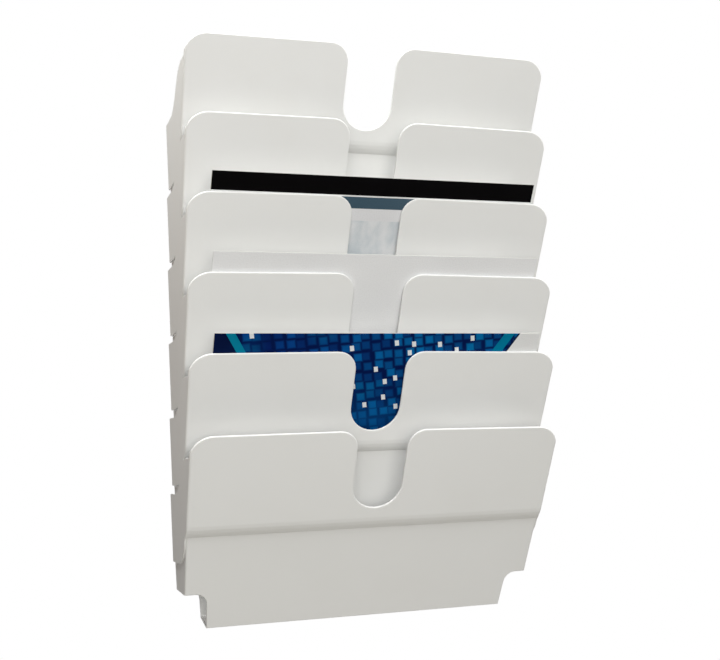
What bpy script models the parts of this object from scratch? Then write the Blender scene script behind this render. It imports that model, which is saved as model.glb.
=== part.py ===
"""Wall literature display: six nested moulded pockets, three of them holding sheets.

Wall plane y = 0, the display stands out toward -Y, +X right, +Z up.
The origin lies between the two keyhole slots of the top module.
Every module has its own frame: z = 0 at the top edge of its front panel.
"""
import math

import bpy
import bmesh
from mathutils import Vector

MM = 0.001

# Whole display
MODULES = 6
PITCH = 68.0 * MM
DEPTH = 115.0 * MM
LEAN = math.radians(26.4)
GAP = 0.3 * MM

# Walls of one moulding
PANEL_WALL = 2.2 * MM
SKIRT_WALL = 2.0 * MM
SIDE_WALL = 1.6 * MM
FLOOR_WALL = 2.0 * MM
REAR_WALL = 2.0 * MM

# Front panel, with its two tabs and thumb notch
TOP_HALF_WIDTH = 168.4 * MM
SIDE_SPLAY = 0.008
TAB_DROP = 0.009
TAB_RADIUS = 20.0 * MM
NOTCH_HALF_WIDTH = 22.8 * MM
NOTCH_DEPTH = 76.0 * MM
NOTCH_SHOULDER = 17.0 * MM
EDGE_ROUND = 1.8 * MM
RIM_ROUND = 0.75 * MM
RIM_ANGLE = math.radians(50)

# Belly, crease and skirt
PANEL_LENGTH = 98.5 * MM
BELLY_LENGTH = 12.5 * MM
STEP = 3.4 * MM
SKIRT_HALF_WIDTH = 165.3 * MM
SKIRT_DRAFT = 0.04
SKIRT_END = 138.5 * MM

# Tongue, trough floor and rear plate
TONGUE_LENGTH = 192.3 * MM
TONGUE_HALF_WIDTH = 142.9 * MM
TONGUE_DRAFT = 0.06
TONGUE_FILLET = 10.0 * MM
FLOOR_RISE = 5.5 * MM

# Side wall: rounded lobe below, flared edge above
LOBE_DROP = 26.6 * MM
LOBE_FLAT = 22.0 * MM
LOBE_LEAD = 18.0 * MM
LOBE_SAG = 2.0 * MM
LOBE_BEND = 0.55
LOBE_RECESS = 0.8 * MM
WALL_NOTCH = 8.0 * MM
FLANGE_DEPTH = 31.0 * MM
FLANGE_ROUND = 5.0 * MM
FLARE_FLAT = 22.0 * MM
FLARE_LEAD = 0.35
FLARE_BEND = 0.5

# Keyhole slots that hang each module on two wall screws
KEYHOLE_HALF_SPAN = 110.0 * MM
KEYHOLE_DROP = 128.0 * MM
KEYHOLE_RADIUS = 4.75 * MM
KEYHOLE_NECK = 2.4 * MM
KEYHOLE_RISE = 12.0 * MM

# Sheets held in the pockets, counted from the top
SHEET_WIDTH = 297.0 * MM
SHEET_HEIGHT = 210.0 * MM
SHEET_STOCK = 1.2 * MM
SHEET_POCKETS = (3, 4, 5)
SHEET_NAMES = ("sheet_black_band", "sheet_plain", "sheet_blue_weave")
SHEET_FEET = (15.5 * MM, 16.0 * MM, 15.5 * MM)
SHEET_SHIFTS = (0.0 * MM, 0.2 * MM, -0.2 * MM)
SHEET_COLOURS = ((0.02, 0.02, 0.025), (0.68, 0.69, 0.69), (0.01, 0.10, 0.38))

# Derived sizes
SIDE_DRAFT = (SIDE_WALL + GAP) / PITCH
SIN = math.sin(LEAN)
COS = math.cos(LEAN)
ARC_STEPS = 8
PAST = 20.0 * MM
WELD = 0.02 * MM
CREASE_CLEAR = 12.0 * MM


def lay(s, off):
    """Point (y, z) at s down the front panel and off behind its face."""
    return (-DEPTH + s * SIN + off * COS, -s * COS + off * SIN)


def side_plane(y, z):
    """Half width over the side walls of the upper body."""
    return TOP_HALF_WIDTH + SIDE_SPLAY * (y + DEPTH) + SIDE_DRAFT * z


CREASE = lay(PANEL_LENGTH, STEP)
TONGUE_END = lay(TONGUE_LENGTH, STEP)
SKIRT_END_FRONT = (SKIRT_END - STEP * SIN) / COS
LOBE_Z = CREASE[1] - LOBE_DROP
FLOOR_SLOPE = FLOOR_RISE / -TONGUE_END[0]
REAR_TOP = TONGUE_END[1] + FLOOR_RISE - FLOOR_SLOPE * REAR_WALL + PITCH - GAP
FLANGE_Z = CREASE[1] + PITCH + GAP
FLARE_Z = LOBE_Z + PITCH - WALL_NOTCH


def skirt_half(z):
    return SKIRT_HALF_WIDTH + SKIRT_DRAFT * (z - CREASE[1])


def skirt_y(z, off):
    """Depth of the skirt plane, off behind the panel face, at height z."""
    return lay((off * SIN - z) / COS, off)[0]


def module_place(number):
    """Where the own frame of a module lies, counted from the top."""
    return Vector((0.0, 0.0, KEYHOLE_DROP - (number - 1) * PITCH))


def bezier(p0, p1, p2, p3, steps):
    points = []
    for i in range(steps + 1):
        t = i / steps
        a = (1 - t) ** 3
        b = 3 * t * (1 - t) ** 2
        c = 3 * t * t * (1 - t)
        d = t ** 3
        y = a * p0[0] + b * p1[0] + c * p2[0] + d * p3[0]
        z = a * p0[1] + b * p1[1] + c * p2[1] + d * p3[1]
        points.append((y, z))
    return points


def arc(cx, cy, radius, start, end, steps):
    points = []
    for i in range(steps + 1):
        t = math.radians(start + (end - start) * i / steps)
        points.append((cx + radius * math.cos(t), cy + radius * math.sin(t)))
    return points


def belly(inset, reach):
    """Roll of the panel toward the wall, ended a little past the skirt plane."""
    radius = (BELLY_LENGTH ** 2 + STEP ** 2) / (2 * STEP)
    start = PANEL_LENGTH - BELLY_LENGTH
    end = math.acos((radius - STEP - reach) / (radius - inset))
    points = []
    for i in range(ARC_STEPS // 2 + 1):
        t = end * i / (ARC_STEPS // 2)
        s = start + (radius - inset) * math.sin(t)
        off = radius - (radius - inset) * math.cos(t)
        points.append(lay(s, off))
    return points


def lobe(inset):
    """Lower edge of the side wall, from the crease back to the wall."""
    front = lay(PANEL_LENGTH + 4 * GAP - inset, STEP + LOBE_RECESS + inset)
    lead = (front[0] + LOBE_LEAD * SIN, front[1] - LOBE_LEAD * COS)
    rear = (-LOBE_FLAT, LOBE_Z + inset + GAP)
    span = rear[0] - front[0]
    sag = (rear[0] - LOBE_BEND * span, LOBE_Z + inset + LOBE_SAG)
    return bezier(front, lead, sag, rear, ARC_STEPS)


def flare():
    """Upper edge of the side wall, from the flange corner back to the wall."""
    corner = (-DEPTH + FLANGE_DEPTH + FLANGE_ROUND, FLANGE_Z - FLANGE_ROUND / 4)
    rear = (-FLARE_FLAT, FLARE_Z + FLANGE_ROUND / 4)
    span = rear[0] - corner[0]
    lead = (corner[0] + FLARE_LEAD * span, corner[1] - FLANGE_ROUND)
    sag = (rear[0] - FLARE_BEND * span, rear[1] + FLANGE_ROUND / 4)
    return bezier(corner, lead, sag, rear, ARC_STEPS)


def new_object(name, bm):
    bmesh.ops.recalc_face_normals(bm, faces=bm.faces)
    mesh = bpy.data.meshes.new(name)
    bm.to_mesh(mesh)
    bm.free()
    obj = bpy.data.objects.new(name, mesh)
    bpy.context.collection.objects.link(obj)
    return obj


def prism(name, left, right):
    """Closed solid between two matching rings of points."""
    bm = bmesh.new()
    a = [bm.verts.new(p) for p in left]
    b = [bm.verts.new(p) for p in right]
    bm.faces.new(a)
    bm.faces.new(list(reversed(b)))
    count = len(a)
    for i in range(count):
        j = (i + 1) % count
        bm.faces.new((a[j], a[i], b[i], b[j]))
    return new_object(name, bm)


def cross_prism(name, outline, half):
    """Outline in (y, z) drawn out along X to a half width that may taper."""
    left = [(-half(y, z), y, z) for y, z in outline]
    right = [(half(y, z), y, z) for y, z in outline]
    return prism(name, left, right)


def panel_prism(name, outline, near, far):
    """Outline in (x, s) on the panel, drawn out along the panel's normal."""
    rings = []
    for off in (near, far):
        rings.append([(x,) + lay(s, off) for x, s in outline])
    return prism(name, rings[0], rings[1])


def wall_prism(name, outline, near, far):
    """Outline in (x, z) drawn out along Y."""
    return prism(name, [(x, near, z) for x, z in outline], [(x, far, z) for x, z in outline])


def bevel_edges(obj, test, width, segments):
    bm = bmesh.new()
    bm.from_mesh(obj.data)
    bmesh.ops.remove_doubles(bm, verts=bm.verts, dist=WELD)
    edges = [e for e in bm.edges if test(e)]
    bmesh.ops.bevel(bm, geom=edges, offset=width, segments=segments, profile=0.5, affect='EDGES')
    bm.to_mesh(obj.data)
    bm.free()


def combine(target, tool, operation):
    """Boolean on target, applied, with the tool removed."""
    tool.hide_render = True
    tool.display_type = 'WIRE'
    step = target.modifiers.new("cut", 'BOOLEAN')
    step.solver = 'EXACT'
    step.operation = operation
    step.object = tool
    graph = bpy.context.evaluated_depsgraph_get()
    mesh = bpy.data.meshes.new_from_object(target.evaluated_get(graph))
    target.modifiers.clear()
    old = target.data
    target.data = mesh
    bpy.data.meshes.remove(old)
    bpy.data.objects.remove(tool)


def on_front(edge, face_test):
    """True for an edge between one front face and one side face."""
    kinds = [abs(f.normal.x) > 0.9 for f in edge.link_faces]
    return len(kinds) == 2 and kinds[0] != kinds[1] and all(face_test(v.co) for v in edge.verts)


def upper_body():
    """Panel and side walls as a block, before it is hollowed."""
    top = lay(-PAST, 0.0)
    outline = [top]
    outline += belly(0.0, LOBE_RECESS)
    outline += lobe(0.0)
    outline += [(0.0, LOBE_Z), (0.0, top[1])]
    block = cross_prism("upper_body", outline, side_plane)

    def near_front(co):
        return co.y < skirt_y(co.z, STEP) + GAP and co.z > CREASE[1] - GAP and co.y < -DEPTH / 2
    bevel_edges(block, lambda e: on_front(e, near_front), EDGE_ROUND, 3)
    return block


def lower_outline():
    """Half outline in (x, z) of skirt, corner fillet and tongue, going down."""
    start = CREASE[1] + 20 * MM
    side = -SKIRT_END - TONGUE_FILLET
    fillet_x = TONGUE_HALF_WIDTH + TONGUE_FILLET
    points = [(skirt_half(start), start), (skirt_half(-SKIRT_END), -SKIRT_END)]
    points += arc(fillet_x, side, TONGUE_FILLET, 90, 180, ARC_STEPS // 2)
    end = TONGUE_END[1]
    points.append((TONGUE_HALF_WIDTH + TONGUE_DRAFT * (end - side), end))
    return points


def lower_body():
    """Skirt, tongue and trough as a block, before it is hollowed."""
    half = lower_outline()
    ring = half + [(-x, z) for x, z in reversed(half)]
    front = []
    rear = []
    for x, z in ring:
        lift = FLOOR_RISE if z == TONGUE_END[1] else 0.0
        front.append((x, skirt_y(z, STEP), z))
        rear.append((x + math.copysign(TONGUE_DRAFT * lift, x), 0.0, z + lift))
    block = prism("lower_body", front, rear)

    def near_front(co):
        return co.y < skirt_y(co.z, STEP) + GAP and co.z > -SKIRT_END - GAP and abs(co.x) > TONGUE_HALF_WIDTH
    bevel_edges(block, lambda e: on_front(e, near_front), EDGE_ROUND, 3)
    return block


def upper_void():
    """Space behind the panel, open at the top and at the wall."""
    outline = [lay(-2 * PAST, PANEL_WALL)]
    outline += belly(PANEL_WALL, SKIRT_WALL + LOBE_RECESS)
    outline += lobe(SIDE_WALL)[2:]
    outline += [(-REAR_WALL, LOBE_Z + SIDE_WALL), (-REAR_WALL, REAR_TOP)]
    outline += [(PAST, REAR_TOP), (PAST, PAST)]
    return cross_prism("upper_void", outline, lambda y, z: side_plane(y, z) - SIDE_WALL)


def lower_void():
    """Space between skirt, trough floor and rear plate."""
    back = STEP + SKIRT_WALL
    low_z = TONGUE_END[1] + FLOOR_WALL
    low_y = skirt_y(low_z, back)
    outline = [lay(PANEL_LENGTH - BELLY_LENGTH, back + GAP), lay(PANEL_LENGTH, back)]
    outline += [(low_y, low_z + FLOOR_SLOPE * (low_y - TONGUE_END[0]))]
    outline += [(-REAR_WALL, low_z + FLOOR_SLOPE * (-REAR_WALL - TONGUE_END[0]))]
    outline += [(-REAR_WALL, REAR_TOP - GAP)]
    return cross_prism("lower_void", outline, lambda y, z: skirt_half(z) - SIDE_WALL)


def tab_cutter():
    """Everything above the tab edges, with the thumb notch."""
    def drop(x):
        return TAB_DROP * x
    centre = NOTCH_DEPTH - NOTCH_HALF_WIDTH
    half = arc(0.0, centre, NOTCH_HALF_WIDTH, 90, 0, ARC_STEPS)
    shoulder_x = NOTCH_HALF_WIDTH + NOTCH_SHOULDER
    shoulder_s = NOTCH_SHOULDER + drop(shoulder_x)
    half += arc(shoulder_x, shoulder_s, NOTCH_SHOULDER, 180, 270, ARC_STEPS)
    corner_x = TOP_HALF_WIDTH - TAB_RADIUS
    corner_s = TAB_RADIUS + drop(corner_x)
    half += arc(corner_x, corner_s, TAB_RADIUS, -90, 0, ARC_STEPS)
    half += [(TOP_HALF_WIDTH + PAST, corner_s), (TOP_HALF_WIDTH + PAST, -3 * PAST)]
    ring = half + [(-x, s) for x, s in reversed(half[1:])]
    return panel_prism("tab_cutter", ring, -PAST / 2, PAST / 2)


def flare_void():
    """Space above the flange and the flared edge of the side walls."""
    flange_s = (PANEL_WALL * SIN - FLANGE_Z) / COS
    outline = [lay(-3 * PAST, PANEL_WALL), lay(flange_s, PANEL_WALL)]
    outline += [(-DEPTH + FLANGE_DEPTH, FLANGE_Z)]
    outline += flare()
    outline += [(PAST, FLARE_Z), (PAST, 3 * PAST)]
    return cross_prism("flare_void", outline, lambda y, z: TOP_HALF_WIDTH + PAST)


def keyhole_cutter(side):
    x = side * KEYHOLE_HALF_SPAN
    turn = math.degrees(math.asin(KEYHOLE_NECK / KEYHOLE_RADIUS))
    ring = arc(x, -KEYHOLE_DROP, KEYHOLE_RADIUS, 90 - turn, -270 + turn, 2 * ARC_STEPS)
    neck_z = -KEYHOLE_DROP + KEYHOLE_RISE
    ring += arc(x, neck_z, KEYHOLE_NECK, 180, 0, ARC_STEPS // 2)
    return wall_prism("keyhole_cutter", ring, -2 * REAR_WALL, PAST)


def is_rim(edge):
    """True for an outer edge of the open rims, away from the wall and the ends of other rounds."""
    if len(edge.link_faces) != 2 or not edge.is_convex or edge.calc_face_angle(0.0) < RIM_ANGLE:
        return False
    for vert in edge.verts:
        co = vert.co
        outside = abs(co.x) > TONGUE_HALF_WIDTH
        from_crease = math.hypot(co.y - CREASE[0], co.z - CREASE[1])
        if co.y > -REAR_WALL - GAP or (outside and from_crease < CREASE_CLEAR):
            return False
        if outside and abs(co.z - FLANGE_Z) < 2 * RIM_ROUND and co.y < -DEPTH + FLANGE_DEPTH:
            return False
    return True


def moulding():
    """One pocket module as a single closed shell."""
    body = upper_body()
    combine(body, lower_body(), 'UNION')
    void = upper_void()
    combine(void, lower_void(), 'UNION')
    combine(void, flare_void(), 'UNION')
    combine(body, void, 'DIFFERENCE')
    combine(body, tab_cutter(), 'DIFFERENCE')
    for side in (-1, 1):
        combine(body, keyhole_cutter(side), 'DIFFERENCE')
    bevel_edges(body, is_rim, RIM_ROUND, 2)
    return body


def plastic(name, colour, roughness):
    material = bpy.data.materials.new(name)
    material.use_nodes = True
    shader = material.node_tree.nodes["Principled BSDF"]
    shader.inputs["Base Color"].default_value = colour + (1.0,)
    shader.inputs["Roughness"].default_value = roughness
    return material


def smooth_rounds(mesh):
    for polygon in mesh.polygons:
        polygon.use_smooth = True
    mesh.set_sharp_from_angle(angle=math.radians(30))


def place_modules():
    body = moulding()
    smooth_rounds(body.data)
    for number in range(1, MODULES + 1):
        name = "pocket_%d" % number
        mesh = body.data.copy()
        mesh.name = name
        obj = bpy.data.objects.new(name, mesh)
        bpy.context.collection.objects.link(obj)
        obj.location = module_place(number)
        obj.data.materials.clear()
        obj.data.materials.append(plastic(name, (0.80, 0.80, 0.78), 0.4))
    bpy.data.objects.remove(body)


def sheet_seat(foot):
    """Foot point (y, z) on the trough floor and the lean that rests the sheet on the tabs."""
    floor_z = TONGUE_END[1] + FLOOR_WALL - FLOOR_SLOPE * (foot + TONGUE_END[0])
    seat = (-foot, floor_z + GAP)
    rest = lay(0.0, PANEL_WALL + GAP)
    return seat, math.atan2(seat[0] - rest[0], rest[1] - seat[1])


def place_sheet(index):
    """Flat sheet on the trough floor, leaning out over the back of the tabs."""
    name = SHEET_NAMES[index]
    half = SHEET_WIDTH / 2
    outline = [(-half, 0.0), (half, 0.0), (half, SHEET_HEIGHT), (-half, SHEET_HEIGHT)]
    obj = wall_prism(name, outline, 0.0, SHEET_STOCK)
    seat, lean = sheet_seat(SHEET_FEET[index])
    place = Vector((SHEET_SHIFTS[index], seat[0], seat[1]))
    obj.location = module_place(SHEET_POCKETS[index]) + place
    obj.rotation_euler = (lean, 0.0, 0.0)
    obj.data.materials.append(plastic(name, SHEET_COLOURS[index], 0.5))


def main():
    for obj in list(bpy.data.objects):
        bpy.data.objects.remove(obj)
    place_modules()
    for index in range(len(SHEET_NAMES)):
        place_sheet(index)


main()
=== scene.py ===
"""Looks of a wall literature display: six nested pockets and three printed sheets."""

import math

import bmesh
import bpy
from mathutils import Matrix, Vector


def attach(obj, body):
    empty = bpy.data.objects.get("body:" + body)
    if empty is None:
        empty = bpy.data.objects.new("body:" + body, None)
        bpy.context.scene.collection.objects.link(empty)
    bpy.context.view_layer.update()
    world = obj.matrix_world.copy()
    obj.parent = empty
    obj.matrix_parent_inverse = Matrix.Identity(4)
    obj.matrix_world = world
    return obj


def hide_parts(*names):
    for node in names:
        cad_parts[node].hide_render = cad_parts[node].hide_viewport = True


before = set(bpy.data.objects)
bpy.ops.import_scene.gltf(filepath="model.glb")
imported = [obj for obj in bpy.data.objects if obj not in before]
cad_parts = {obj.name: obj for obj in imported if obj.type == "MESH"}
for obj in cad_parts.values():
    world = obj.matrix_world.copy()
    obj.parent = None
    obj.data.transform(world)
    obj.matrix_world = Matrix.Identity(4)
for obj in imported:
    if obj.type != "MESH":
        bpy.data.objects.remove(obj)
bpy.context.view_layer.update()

MM = 0.001

# Camera fitted to the photograph: focal length in its pixels, turns in radians
PHOTO_WIDTH = 720
FOCAL_PIXELS = 1107.067
SENSOR_WIDTH = 36
CAMERA_PLACE = (-0.32039, -1.01719, -0.20240)
CAMERA_TURN = 0.320669
CAMERA_RISE = 0.081021
CAMERA_ROLL = -0.025948

POCKETS = ["pocket_%d" % n for n in range(1, 7)]

# Cover and leaves of the sheets; each leaf is moved a little by waves over the leaf number
COVER = 0.22 * MM
LEAF = 0.12 * MM
LEAF_GAP = 0.04 * MM
FOLD_STEPS = 8
SPINE_INSET = 0.75 * MM
EDGE_INSET = 0.2 * MM
LEAF_SWAY = 0.30 * MM
SWAY_STEP = 2.4
SWAY_START = 0.6
LEAF_DROP = 0.22 * MM
DROP_STEP = 1.7

# White plastic; RIM_START and RIM_FULL are 1 - cosine of a rounded edge's turn
PLASTIC_LIGHT = (0.875, 0.876, 0.869, 1)
PLASTIC_DARK = (0.862, 0.863, 0.853, 1)
PLASTIC_DUSK = (0.80, 0.79, 0.76, 1)
# The rim colour is a painted highlight: a lighter colour laid on the rounded edges
PLASTIC_RIM_HIGHLIGHT = (0.91, 0.91, 0.905, 1)
DUSK_SHARE = 0.12
RIM_HIGHLIGHT_SHARE = 0.7
RIM_RADIUS = 1.3 * MM
RIM_SAMPLES = 6
RIM_START = 0.01
RIM_FULL = 0.14
PLASTIC_GLOSS = 0.06
RIM_GLOSS = 0.5
PLASTIC_ROUGHNESS = 0.46
WAVE_HEIGHT = 0.8 * MM
GRAIN_HEIGHT = 0.007 * MM

# Paper
PAPER_GLOSS = 0.02
PAPER_ROUGHNESS = 0.36
PRINT_DEPTH = 0.05 * MM
EDGE_DARK = (0.62, 0.61, 0.58, 1)
EDGE_LIGHT = (0.84, 0.83, 0.80, 1)
BACK_LIGHT = (0.80, 0.80, 0.79, 1)
BACK_DARK = (0.77, 0.77, 0.765, 1)
CURL_HEIGHT = 0.5 * MM
FIBRE_HEIGHT = 0.006 * MM

# Banded print: rows run down from the sheet's top edge, columns from its middle, and each
# pair of inks or tones is mixed by a pattern
BLACK_END = 16.8 * MM
LINE_END = 18.1 * MM
SLATE_END = 28.8 * MM
PICTURE_ROWS = (40 * MM, 92 * MM)
PICTURE_COLUMNS = (-62 * MM, 24 * MM)
BAND_SOFTNESS = 0.08 * MM
FIELD_ROWS = (SLATE_END, 120 * MM)
BLACK_INKS = ((0.0012, 0.0010, 0.0012, 1), (0.003, 0.0026, 0.003, 1))
LINE_WHITE = (0.88, 0.89, 0.89, 1)
SLATE_REACH = 100 * MM
SLATE_INKS = ((0.050, 0.095, 0.135, 1), (0.074, 0.122, 0.165, 1))
FIELD_TONES = ((0.83, 0.83, 0.85, 1), (0.86, 0.865, 0.87, 1))
PICTURE_TONES = ((0.62, 0.67, 0.71, 1), (0.84, 0.85, 0.87, 1))

# Pale print
PALE_TONES = ((0.915, 0.918, 0.93, 1), (0.895, 0.90, 0.915, 1))
PALE_FOOT = (0.87, 0.87, 0.875, 1)
PALE_ROWS = (0.0, 210 * MM)

# Blue print: pebbles, and white chips in the cells whose random number is over a limit, which
# falls from the first to the second over the chips' rows
PEBBLE_LEAN = -0.22
PEBBLE_TILT = 0.10
PEBBLE_SCALE = 104.0
PEBBLE_SCATTER = 0.35
PEBBLE_RIM = (0.24, 0.50)
EAST_COLUMNS = (-130 * MM, 60 * MM)
DEEP_INKS = ((0.0015, 0.013, 0.115, 1), (0.0015, 0.045, 0.20, 1))
BRIGHT_INKS = ((0.002, 0.048, 0.27, 1), (0.002, 0.150, 0.43, 1))
TEAL_INKS = ((0.001, 0.085, 0.24, 1), (0.002, 0.21, 0.41, 1))
JOINT_INKS = ((0.001, 0.009, 0.075, 1), (0.001, 0.024, 0.135, 1))
TEAL_SHARE = 0.8
LOWER_INK = (0.002, 0.080, 0.27, 1)
LOWER_SHARE = 0.45
LOWER_ROWS = (50 * MM, 90 * MM)
CHIP_SHAPE = (1.0, 0.72, 1.0)
CHIP_SCALE = 70.0
CHIP_SCATTER = 0.85
CHIP_SIZE = 0.13
CHIP_ROWS = (12 * MM, 32 * MM)
CHIP_LIMITS = (0.65, 0.25)
CHIP_WHITE = (0.86, 0.88, 0.90, 1)

# Blue print: slanted fields at its ends, with columns as they are at the sheet's top edge
RIGHT_LEAN = 0.55
RIGHT_STRIPE = (114 * MM, 124 * MM)
RIGHT_RULE = (127.4 * MM, 129.2 * MM)
RIGHT_PALE = (129.0 * MM, 129.4 * MM)
FIELD_SOFTNESS = 0.2 * MM
STRIPE_TEAL = (0.0, 0.20, 0.36, 1)
RULE_INK = (0.003, 0.010, 0.05, 1)
PALE_END = (0.86, 0.865, 0.87, 1)
LEFT_LEAN = -0.6
LEFT_STRIPE = -131 * MM
LEFT_NIGHT = -139 * MM
LEFT_TEAL = (0.002, 0.22, 0.36, 1)
NIGHT_INKS = ((0.002, 0.006, 0.04, 1), (0.002, 0.016, 0.085, 1))

# Room light, and a floor that fades out between two shares of its radius
WHITE = (1, 1, 1, 1)
ROOM_COLOUR = (1.0, 0.95, 0.89, 1)
ROOM_STRENGTH = 0.03
FLOOR_LEVEL = -1.6
FLOOR_RADIUS = 2.2
FLOOR_SIDES = 96
FLOOR_FADE = (0.45, 0.98)
FLOOR_COLOUR = (0.74, 0.705, 0.65, 1)
FLOOR_ROUGHNESS = 0.8

# Lamps: name, place, target, width and height, watts, colour
MIDDLE = (0, -0.08, -0.1)
LAMPS = (
    ("key_above", (0, -1.7, 1.8), MIDDLE, (1.7, 1.0), 47, (0.995, 1.0, 1.0)),
    ("fill_front", (-0.4, -1.8, 0.15), MIDDLE, (1.2, 1.0), 11.3, (0.99, 1.0, 1.0)),
    ("fill_low", (-0.3, -1.9, -0.25), (0, -0.08, -0.2), (1.2, 0.8), 6.7, (1.0, 0.965, 0.85)),
    ("strip_overhead", (0, -0.42, 1.0), (0, -0.12, -0.1), (1.1, 0.1), 2.6, (1.0, 0.985, 0.95)),
    ("near_left", (-0.43, -0.10, 0.52), (-0.15, -0.08, 0.1), (0.26, 0.2), 2.35,
     (0.98, 1.0, 0.95)),
    ("warm_left", (-0.6, -0.13, 0.0), (-0.17, -0.08, -0.1), (0.2, 0.2), 0.15,
     (1.0, 0.6, 0.35)),
    ("wide_right", (0.9, -0.14, 0.4), (0.15, -0.08, 0.0), (0.3, 0.3), 4.2,
     (1.0, 0.985, 0.96)),
    ("fill_behind", (0.4, 1.7, 0.7), MIDDLE, (1.4, 1.0), 19, (1.0, 1.0, 1.0)),
)


def corners_of(node):
    """Eight corners of a sheet's solid: foot before top, left before right, front before back."""
    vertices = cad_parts[node].data.vertices
    found = {tuple(round(c, 6) for c in v.co): v.co.copy() for v in vertices}
    ordered = sorted(found.values(), key=lambda p: p.z)
    rows = []
    for four in (ordered[:4], ordered[4:]):
        sides = sorted(four, key=lambda p: p.x)
        rows += sorted(sides[:2], key=lambda p: p.y) + sorted(sides[2:], key=lambda p: p.y)
    return rows


SEAT = corners_of("sheet_plain")
SHEET_WIDTH = (SEAT[2] - SEAT[0]).length
SHEET_HEIGHT = (SEAT[4] - SEAT[0]).length
SHEET_DEPTH = (SEAT[1] - SEAT[0]).length


class Paint:
    """A node material, with short calls for the nodes that it is made of."""

    def __init__(self, name):
        self.material = bpy.data.materials.new(name)
        self.material.use_nodes = True
        self.tree = self.material.node_tree
        self.shader = self.tree.nodes["Principled BSDF"]
        self.place = self.node("ShaderNodeTexCoord").outputs["Object"]

    def node(self, kind, **settings):
        made = self.tree.nodes.new(kind)
        for key, value in settings.items():
            setattr(made, key, value)
        return made

    def feed(self, socket, value):
        """Links a socket to the input, or sets a plain value on it."""
        if isinstance(value, bpy.types.NodeSocket):
            self.tree.links.new(value, socket)
        else:
            socket.default_value = value

    def calc(self, operation, *values):
        made = self.node("ShaderNodeMath", operation=operation)
        for socket, value in zip(made.inputs, values):
            self.feed(socket, value)
        return made.outputs[0]

    def scaled(self, value, gain, base):
        """The value times the gain, plus the base."""
        return self.calc('MULTIPLY_ADD', value, gain, base)

    def fade(self, value, start, end):
        """0 below start, 1 above end, smooth between."""
        made = self.node("ShaderNodeMapRange", interpolation_type='SMOOTHSTEP')
        self.feed(made.inputs["Value"], value)
        made.inputs["From Min"].default_value = start
        made.inputs["From Max"].default_value = end
        return made.outputs["Result"]

    def within(self, value, span, soft):
        """1 inside a span of (low, high), with edges as soft as told."""
        rise, fall = [self.fade(value, end - soft, end + soft) for end in span]
        return self.calc('SUBTRACT', rise, fall)

    def mix(self, share, first, second):
        made = self.node("ShaderNodeMix", data_type='RGBA')
        self.feed(made.inputs[0], share)
        self.feed(made.inputs[6], first)
        self.feed(made.inputs[7], second)
        return made.outputs[2]

    def toned(self, colour, value):
        """The colour, made lighter or darker by a value about 1."""
        made = self.node("ShaderNodeHueSaturation")
        self.feed(made.inputs["Color"], colour)
        self.feed(made.inputs["Value"], value)
        return made.outputs[0]

    def stretched(self, scale, turn=(0, 0, 0), place=None):
        """The place, turned and scaled on each axis, for a noise that runs in streaks."""
        made = self.node("ShaderNodeMapping")
        self.feed(made.inputs["Vector"], place or self.place)
        made.inputs["Scale"].default_value = scale
        made.inputs["Rotation"].default_value = turn
        return made.outputs[0]

    def noise(self, scale, detail, rough=0.5, place=None):
        made = self.node("ShaderNodeTexNoise")
        self.feed(made.inputs["Vector"], place or self.place)
        made.inputs["Scale"].default_value = scale
        made.inputs["Detail"].default_value = detail
        made.inputs["Roughness"].default_value = rough
        return made.outputs["Fac"]

    def patches(self, start, end, **noise):
        """Noise with more contrast: 0 where it is below start, 1 where it is above end."""
        return self.fade(self.noise(**noise), start, end)

    def cells(self, place, scale, scatter):
        """Distance from each cell's middle, as squares draw it, and a random number per cell."""
        made = self.node("ShaderNodeTexVoronoi", voronoi_dimensions='2D', distance='CHEBYCHEV')
        self.feed(made.inputs["Vector"], place)
        made.inputs["Scale"].default_value = scale
        made.inputs["Randomness"].default_value = scatter
        random = self.node("ShaderNodeSeparateColor")
        self.feed(random.inputs[0], made.outputs["Color"])
        return made.outputs["Distance"], random.outputs[0]

    def parts(self):
        """The place as x, y and z."""
        made = self.node("ShaderNodeSeparateXYZ")
        self.feed(made.inputs[0], self.place)
        return made.outputs

    def bump(self, height, distance, under=None):
        """A relief of the height, on top of the one under it."""
        made = self.node("ShaderNodeBump")
        self.feed(made.inputs["Height"], height)
        made.inputs["Distance"].default_value = distance
        if under:
            self.feed(made.inputs["Normal"], under)
        return made.outputs[0]

    def rims(self, radius):
        """1 on edges sharper than the radius, 0 on the flats."""
        rounded = self.node("ShaderNodeBevel", samples=RIM_SAMPLES)
        rounded.inputs["Radius"].default_value = radius
        flat = self.node("ShaderNodeNewGeometry").outputs["Normal"]
        dot = self.node("ShaderNodeVectorMath", operation='DOT_PRODUCT')
        self.feed(dot.inputs[0], rounded.outputs[0])
        self.feed(dot.inputs[1], flat)
        turned = self.calc('SUBTRACT', 1.0, dot.outputs["Value"])
        return self.fade(turned, RIM_START, RIM_FULL)

    def finish(self, colour, roughness, gloss, normal):
        self.feed(self.shader.inputs["Base Color"], colour)
        self.feed(self.shader.inputs["Roughness"], roughness)
        self.feed(self.shader.inputs["Specular IOR Level"], gloss)
        self.feed(self.shader.inputs["Normal"], normal)
        return self.material


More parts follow.
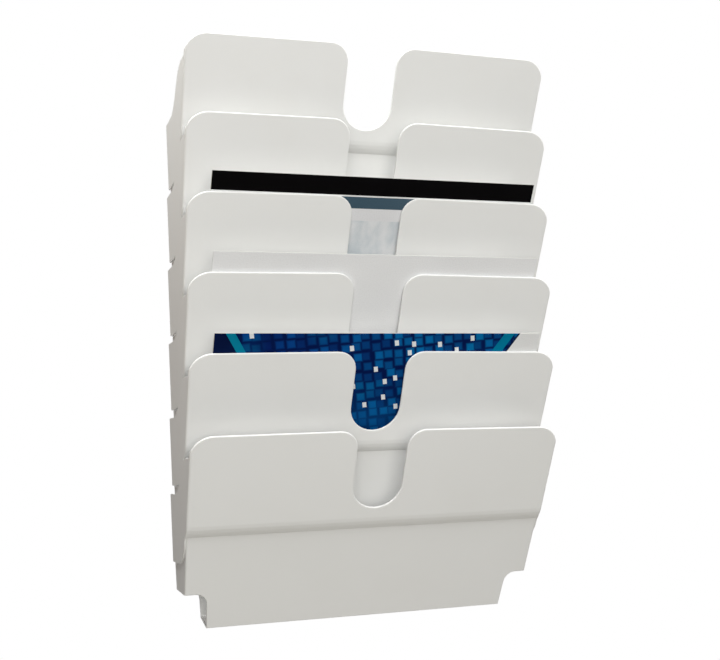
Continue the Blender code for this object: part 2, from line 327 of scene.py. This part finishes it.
def moulded_plastic():
    """Moulded white plastic: close whites, fine grain, slow waves, glossier rims with a painted
    highlight.
    """
    paint = Paint("white_moulded_plastic")
    slow = paint.patches(start=0.34, end=0.66, scale=5.0, detail=2.0)
    body = paint.mix(slow, PLASTIC_LIGHT, PLASTIC_DARK)
    dusk = paint.patches(start=0.48, end=0.80, scale=17.0, detail=3.0, rough=0.55)
    body = paint.mix(paint.calc('MULTIPLY', dusk, DUSK_SHARE), body, PLASTIC_DUSK)
    rims = paint.rims(RIM_RADIUS)
    # Painted highlight: the rounded edges get a lighter colour, standing in for the light they
    # catch
    colour = paint.mix(paint.calc('MULTIPLY', rims, RIM_HIGHLIGHT_SHARE), body, PLASTIC_RIM_HIGHLIGHT)
    streaks = paint.stretched(scale=(310, 310, 22), turn=(0, 0.35, 0.2))
    scuffs = paint.patches(start=0.56, end=0.8, scale=1.0, detail=5.0, rough=0.7, place=streaks)
    roughness = paint.scaled(slow, gain=0.05, base=PLASTIC_ROUGHNESS)
    roughness = paint.scaled(scuffs, gain=0.06, base=roughness)
    roughness = paint.scaled(rims, gain=-0.20, base=roughness)
    gloss = paint.scaled(rims, gain=RIM_GLOSS, base=PLASTIC_GLOSS)
    waves = paint.bump(paint.noise(scale=7.0, detail=1.0), WAVE_HEIGHT)
    grain = paint.noise(scale=1300.0, detail=3.0, rough=0.6)
    return paint.finish(colour, roughness, gloss, paint.bump(grain, GRAIN_HEIGHT, under=waves))


def paper(name, print_of):
    """Coated paper: a plain back, bare page edges, faint fibre and curl.

    The front's colour comes from print_of, which gets the place across the sheet, from its
    middle, and down it, from its top edge.
    """
    paint = Paint(name)
    across, depth, height = paint.parts()
    down = paint.calc('SUBTRACT', SHEET_HEIGHT, height)
    threads = paint.stretched(scale=(900, 900, 900))
    fibre = paint.noise(scale=1.0, detail=4.0, rough=0.6, place=threads)
    pages = paint.stretched(scale=(6, 5200, 6))
    edge = paint.patches(start=0.42, end=0.6, scale=1.0, detail=2.0, place=pages)
    is_front = paint.calc('LESS_THAN', depth, PRINT_DEPTH)
    is_back = paint.calc('GREATER_THAN', depth, SHEET_DEPTH - PRINT_DEPTH)
    colour = paint.mix(edge, EDGE_DARK, EDGE_LIGHT)
    colour = paint.mix(is_front, colour, print_of(paint, across, down))
    back = paint.patches(start=0.3, end=0.7, scale=14.0, detail=2.0)
    colour = paint.mix(is_back, colour, paint.mix(back, BACK_LIGHT, BACK_DARK))
    tone = paint.scaled(paint.fade(fibre, start=0.35, end=0.8), gain=-0.08, base=1.0)
    smudges = paint.patches(start=0.3, end=0.75, scale=8.0, detail=3.0)
    tone = paint.scaled(smudges, gain=-0.05, base=tone)
    roughness = paint.noise(scale=55.0, detail=3.0)
    roughness = paint.scaled(roughness, gain=0.16, base=PAPER_ROUGHNESS)
    curl = paint.bump(paint.noise(scale=9.0, detail=1.0), CURL_HEIGHT)
    grain = paint.bump(fibre, FIBRE_HEIGHT, under=curl)
    return paint.finish(paint.toned(colour, tone), roughness, PAPER_GLOSS, grain)


def banded_print(paint, across, down):
    """A black head band, a white line, a slate band and a pale field with a soft picture panel."""
    colour = paint.mix(paint.fade(down, *FIELD_ROWS), *FIELD_TONES)
    clouds = paint.stretched(scale=(34, 1, 20))
    picture = paint.patches(start=0.36, end=0.62, scale=1.0, detail=3.0, rough=0.6, place=clouds)
    rows = paint.within(down, PICTURE_ROWS, BAND_SOFTNESS)
    columns = paint.within(across, PICTURE_COLUMNS, BAND_SOFTNESS)
    panel = paint.calc('MULTIPLY', rows, columns)
    colour = paint.mix(panel, colour, paint.mix(picture, *PICTURE_TONES))
    slate = paint.within(down, (LINE_END, SLATE_END), BAND_SOFTNESS)
    slate_tone = paint.fade(across, -SLATE_REACH, SLATE_REACH)
    colour = paint.mix(slate, colour, paint.mix(slate_tone, *SLATE_INKS))
    line = paint.within(down, (BLACK_END, LINE_END), BAND_SOFTNESS)
    colour = paint.mix(line, colour, LINE_WHITE)
    black = paint.calc('LESS_THAN', down, BLACK_END)
    ink = paint.mix(paint.noise(scale=40.0, detail=2.0), *BLACK_INKS)
    return paint.mix(black, colour, ink)


def pale_print(paint, across, down):
    """A plain pale page, a little greyer to its foot."""
    colour = paint.mix(paint.patches(start=0.3, end=0.7, scale=11.0, detail=2.0), *PALE_TONES)
    return paint.mix(paint.fade(down, *PALE_ROWS), colour, PALE_FOOT)


def pebbles(paint, flat, across, down):
    """Blue pebbles with dark joints, brighter to the right, teal in patches."""
    pebble, random = paint.cells(flat, PEBBLE_SCALE, PEBBLE_SCATTER)
    east = paint.fade(across, *EAST_COLUMNS)
    deep = paint.mix(east, *DEEP_INKS)
    bright = paint.mix(east, *BRIGHT_INKS)
    blues = paint.mix(paint.fade(random, start=0.1, end=0.85), deep, bright)
    region = paint.patches(start=0.50, end=0.66, scale=15.0, detail=1.0)
    teal = paint.mix(random, *TEAL_INKS)
    colour = paint.mix(paint.calc('MULTIPLY', region, TEAL_SHARE), blues, teal)
    joint = paint.mix(region, *JOINT_INKS)
    colour = paint.mix(paint.fade(pebble, *PEBBLE_RIM), colour, joint)
    lower = paint.calc('MULTIPLY', paint.fade(down, *LOWER_ROWS), LOWER_SHARE)
    return paint.mix(lower, colour, LOWER_INK)


def tiled_print(paint, across, down):
    """A generic mosaic of blue pebbles with white chips, between slanted fields at its ends."""
    plane = paint.node("ShaderNodeCombineXYZ")
    paint.feed(plane.inputs[0], paint.scaled(down, gain=PEBBLE_LEAN, base=across))
    paint.feed(plane.inputs[1], paint.scaled(across, gain=PEBBLE_TILT, base=down))
    flat = plane.outputs[0]
    colour = pebbles(paint, flat, across, down)

    chip_place = paint.stretched(CHIP_SHAPE, place=flat)
    chip, chance = paint.cells(chip_place, CHIP_SCALE, CHIP_SCATTER)
    above, below = CHIP_LIMITS
    limit = paint.scaled(paint.fade(down, *CHIP_ROWS), gain=below - above, base=above)
    small = paint.calc('LESS_THAN', chip, CHIP_SIZE)
    shown = paint.calc('MULTIPLY', small, paint.calc('GREATER_THAN', chance, limit))
    colour = paint.mix(shown, colour, CHIP_WHITE)

    right = paint.scaled(down, gain=RIGHT_LEAN, base=across)
    colour = paint.mix(paint.within(right, RIGHT_STRIPE, FIELD_SOFTNESS), colour, STRIPE_TEAL)
    colour = paint.mix(paint.fade(right, *RIGHT_PALE), colour, PALE_END)
    colour = paint.mix(paint.within(right, RIGHT_RULE, FIELD_SOFTNESS), colour, RULE_INK)

    left = paint.scaled(down, gain=LEFT_LEAN, base=across)
    colour = paint.mix(paint.calc('LESS_THAN', left, LEFT_STRIPE), colour, LEFT_TEAL)
    night = paint.mix(paint.patches(start=0.3, end=0.7, scale=16.0, detail=3.0), *NIGHT_INKS)
    return paint.mix(paint.calc('LESS_THAN', left, LEFT_NIGHT), colour, night)


def add_slab(mesh, outline, foot, top):
    """A closed upright prism over (across, depth) points that run clockwise from above."""
    low = [mesh.verts.new((x, y, foot)) for x, y in outline]
    high = [mesh.verts.new((x, y, top)) for x, y in outline]
    count = len(outline)
    for i in range(count):
        j = (i + 1) % count
        mesh.faces.new((low[i], low[j], high[j], high[i]))
    for i in range(count // 2 - 1):
        j = count - 1 - i
        mesh.faces.new((low[i + 1], low[i], low[j], low[j - 1]))
        mesh.faces.new((high[i], high[i + 1], high[j - 1], high[j]))


def cover_outline():
    """Outline of a folded cover in plan: front, round spine on the left, back."""
    half = SHEET_WIDTH / 2
    radius = SHEET_DEPTH / 2
    outer = [(half, 0.0)]
    inner = [(half, COVER)]
    for step in range(FOLD_STEPS + 1):
        angle = math.pi * step / FOLD_STEPS
        reach = math.sin(angle)
        rise = math.cos(angle)
        for path, arm in ((outer, radius), (inner, radius - COVER)):
            path.append((-half + radius - arm * reach, radius - arm * rise))
    outer.append((half, SHEET_DEPTH))
    inner.append((half, SHEET_DEPTH - COVER))
    return outer + inner[::-1]


def add_leaves(mesh, folded):
    """Loose leaves that fill the cover, or the whole stack, each a little off the last."""
    half = SHEET_WIDTH / 2
    start = COVER + LEAF_GAP if folded else 0.0
    end = SHEET_DEPTH - start
    count = int((end - start + LEAF_GAP) / (LEAF + LEAF_GAP))
    pitch = (end - start + LEAF_GAP) / count
    for leaf in range(count):
        front = start + leaf * pitch
        rear = front + pitch - LEAF_GAP
        loose = leaf or folded
        sway = LEAF_SWAY * math.sin(SWAY_STEP * leaf + SWAY_START) if loose else 0.0
        drop = LEAF_DROP * (1 - math.cos(DROP_STEP * leaf)) if loose else 0.0
        left = -half + (SPINE_INSET if folded else max(0.0, sway))
        right = half - max(0.0, -sway) - (EDGE_INSET if folded else 0.0)
        outline = [(right, front), (left, front), (left, rear), (right, rear)]
        add_slab(mesh, outline, 0.0, SHEET_HEIGHT - drop)


def build_sheet(name, node, body, material, folded):
    """A brochure or a thin stack of prints in the space of its solid."""
    mesh = bmesh.new()
    if folded:
        add_slab(mesh, cover_outline(), 0.0, SHEET_HEIGHT)
    add_leaves(mesh, folded)
    bmesh.ops.recalc_face_normals(mesh, faces=mesh.faces)
    data = bpy.data.meshes.new(name)
    mesh.to_mesh(data)
    mesh.free()
    data.materials.append(material)
    made = bpy.data.objects.new(name, data)
    bpy.context.scene.collection.objects.link(made)
    seat = corners_of(node)
    side = (seat[2] - seat[0]).normalized()
    up = (seat[4] - seat[0]).normalized()
    deep = up.cross(side)
    turn = Matrix((side, deep, up)).transposed().to_4x4()
    made.matrix_world = Matrix.Translation((seat[0] + seat[2]) / 2) @ turn
    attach(made, body)
    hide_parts(node)


def place_camera():
    forward = Vector((
        math.sin(CAMERA_TURN) * math.cos(CAMERA_RISE),
        math.cos(CAMERA_TURN) * math.cos(CAMERA_RISE),
        math.sin(CAMERA_RISE)))
    level = Vector((math.cos(CAMERA_TURN), -math.sin(CAMERA_TURN), 0.0))
    upright = level.cross(forward)
    right = level * math.cos(CAMERA_ROLL) + upright * math.sin(CAMERA_ROLL)
    up = upright * math.cos(CAMERA_ROLL) - level * math.sin(CAMERA_ROLL)
    turn = Matrix((right, up, -forward)).transposed().to_4x4()
    data = bpy.data.cameras.new("camera")
    data.sensor_width = SENSOR_WIDTH
    data.lens = FOCAL_PIXELS / PHOTO_WIDTH * SENSOR_WIDTH
    camera = bpy.data.objects.new("camera", data)
    camera.matrix_world = Matrix.Translation(CAMERA_PLACE) @ turn
    bpy.context.scene.collection.objects.link(camera)
    bpy.context.scene.camera = camera


def light(name, place, target, size, power, colour):
    data = bpy.data.lights.new(name, 'AREA')
    data.shape = 'RECTANGLE'
    data.size, data.size_y = size
    data.energy = power
    data.color = colour
    lamp = bpy.data.objects.new(name, data)
    lamp.location = place
    aim = Vector(target) - Vector(place)
    lamp.rotation_euler = aim.to_track_quat('-Z', 'Y').to_euler()
    bpy.context.scene.collection.objects.link(lamp)


def white_to_eye(nodes, links, plain, white, output):
    """Shows white to camera, glossy and transmission rays, and the plain shader to others."""
    path = nodes.new("ShaderNodeLightPath")
    seen = path.outputs["Is Camera Ray"]
    for other in ("Is Glossy Ray", "Is Transmission Ray"):
        larger = nodes.new("ShaderNodeMath")
        larger.operation = 'MAXIMUM'
        links.new(seen, larger.inputs[0])
        links.new(path.outputs[other], larger.inputs[1])
        seen = larger.outputs[0]
    mix = nodes.new("ShaderNodeMixShader")
    links.new(seen, mix.inputs[0])
    links.new(plain, mix.inputs[1])
    links.new(white, mix.inputs[2])
    links.new(mix.outputs[0], output)


def studio():
    """A dim warm room that the eye sees as white, and its lamps."""
    world = bpy.data.worlds.new("studio")
    bpy.context.scene.world = world
    world.use_nodes = True
    nodes, links = world.node_tree.nodes, world.node_tree.links
    room = nodes["Background"]
    room.inputs["Color"].default_value = ROOM_COLOUR
    room.inputs["Strength"].default_value = ROOM_STRENGTH
    white = nodes.new("ShaderNodeBackground")
    white.inputs["Color"].default_value = WHITE
    surface = nodes["World Output"].inputs["Surface"]
    white_to_eye(nodes, links, room.outputs[0], white.outputs[0], surface)
    for lamp in LAMPS:
        light(*lamp)


def floor():
    """A pale round floor far below, which fades out at its rim."""
    mesh = bmesh.new()
    bmesh.ops.create_circle(mesh, cap_ends=True, radius=FLOOR_RADIUS, segments=FLOOR_SIDES)
    data = bpy.data.meshes.new("floor")
    mesh.to_mesh(data)
    mesh.free()
    made = bpy.data.objects.new("floor", data)
    made.location = (0, 0, FLOOR_LEVEL)
    bpy.context.scene.collection.objects.link(made)
    paint = Paint("pale_floor")
    paint.feed(paint.shader.inputs["Base Color"], FLOOR_COLOUR)
    paint.feed(paint.shader.inputs["Roughness"], FLOOR_ROUGHNESS)
    reach = paint.node("ShaderNodeVectorMath", operation='LENGTH')
    paint.feed(reach.inputs[0], paint.place)
    near, far = [share * FLOOR_RADIUS for share in FLOOR_FADE]
    clear = paint.node("ShaderNodeBsdfTransparent")
    mix = paint.node("ShaderNodeMixShader")
    paint.feed(mix.inputs[0], paint.fade(reach.outputs["Value"], near, far))
    paint.feed(mix.inputs[1], paint.shader.outputs[0])
    paint.feed(mix.inputs[2], clear.outputs[0])
    paint.feed(paint.tree.nodes["Material Output"].inputs["Surface"], mix.outputs[0])
    data.materials.append(paint.material)


def main():
    place_camera()
    studio()
    floor()
    plastic = moulded_plastic()
    for name in POCKETS:
        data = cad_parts[name].data
        data.materials.clear()
        data.materials.append(plastic)
    build_sheet("brochure_black_band", "sheet_black_band", "sheet_in_3",
                paper("banded_paper", banded_print), folded=True)
    build_sheet("prints_plain", "sheet_plain", "sheet_in_4",
                paper("pale_paper", pale_print), folded=False)
    build_sheet("brochure_blue", "sheet_blue_weave", "sheet_in_5",
                paper("blue_paper", tiled_print), folded=True)
    bpy.context.scene.view_settings.view_transform = 'Standard'


main()
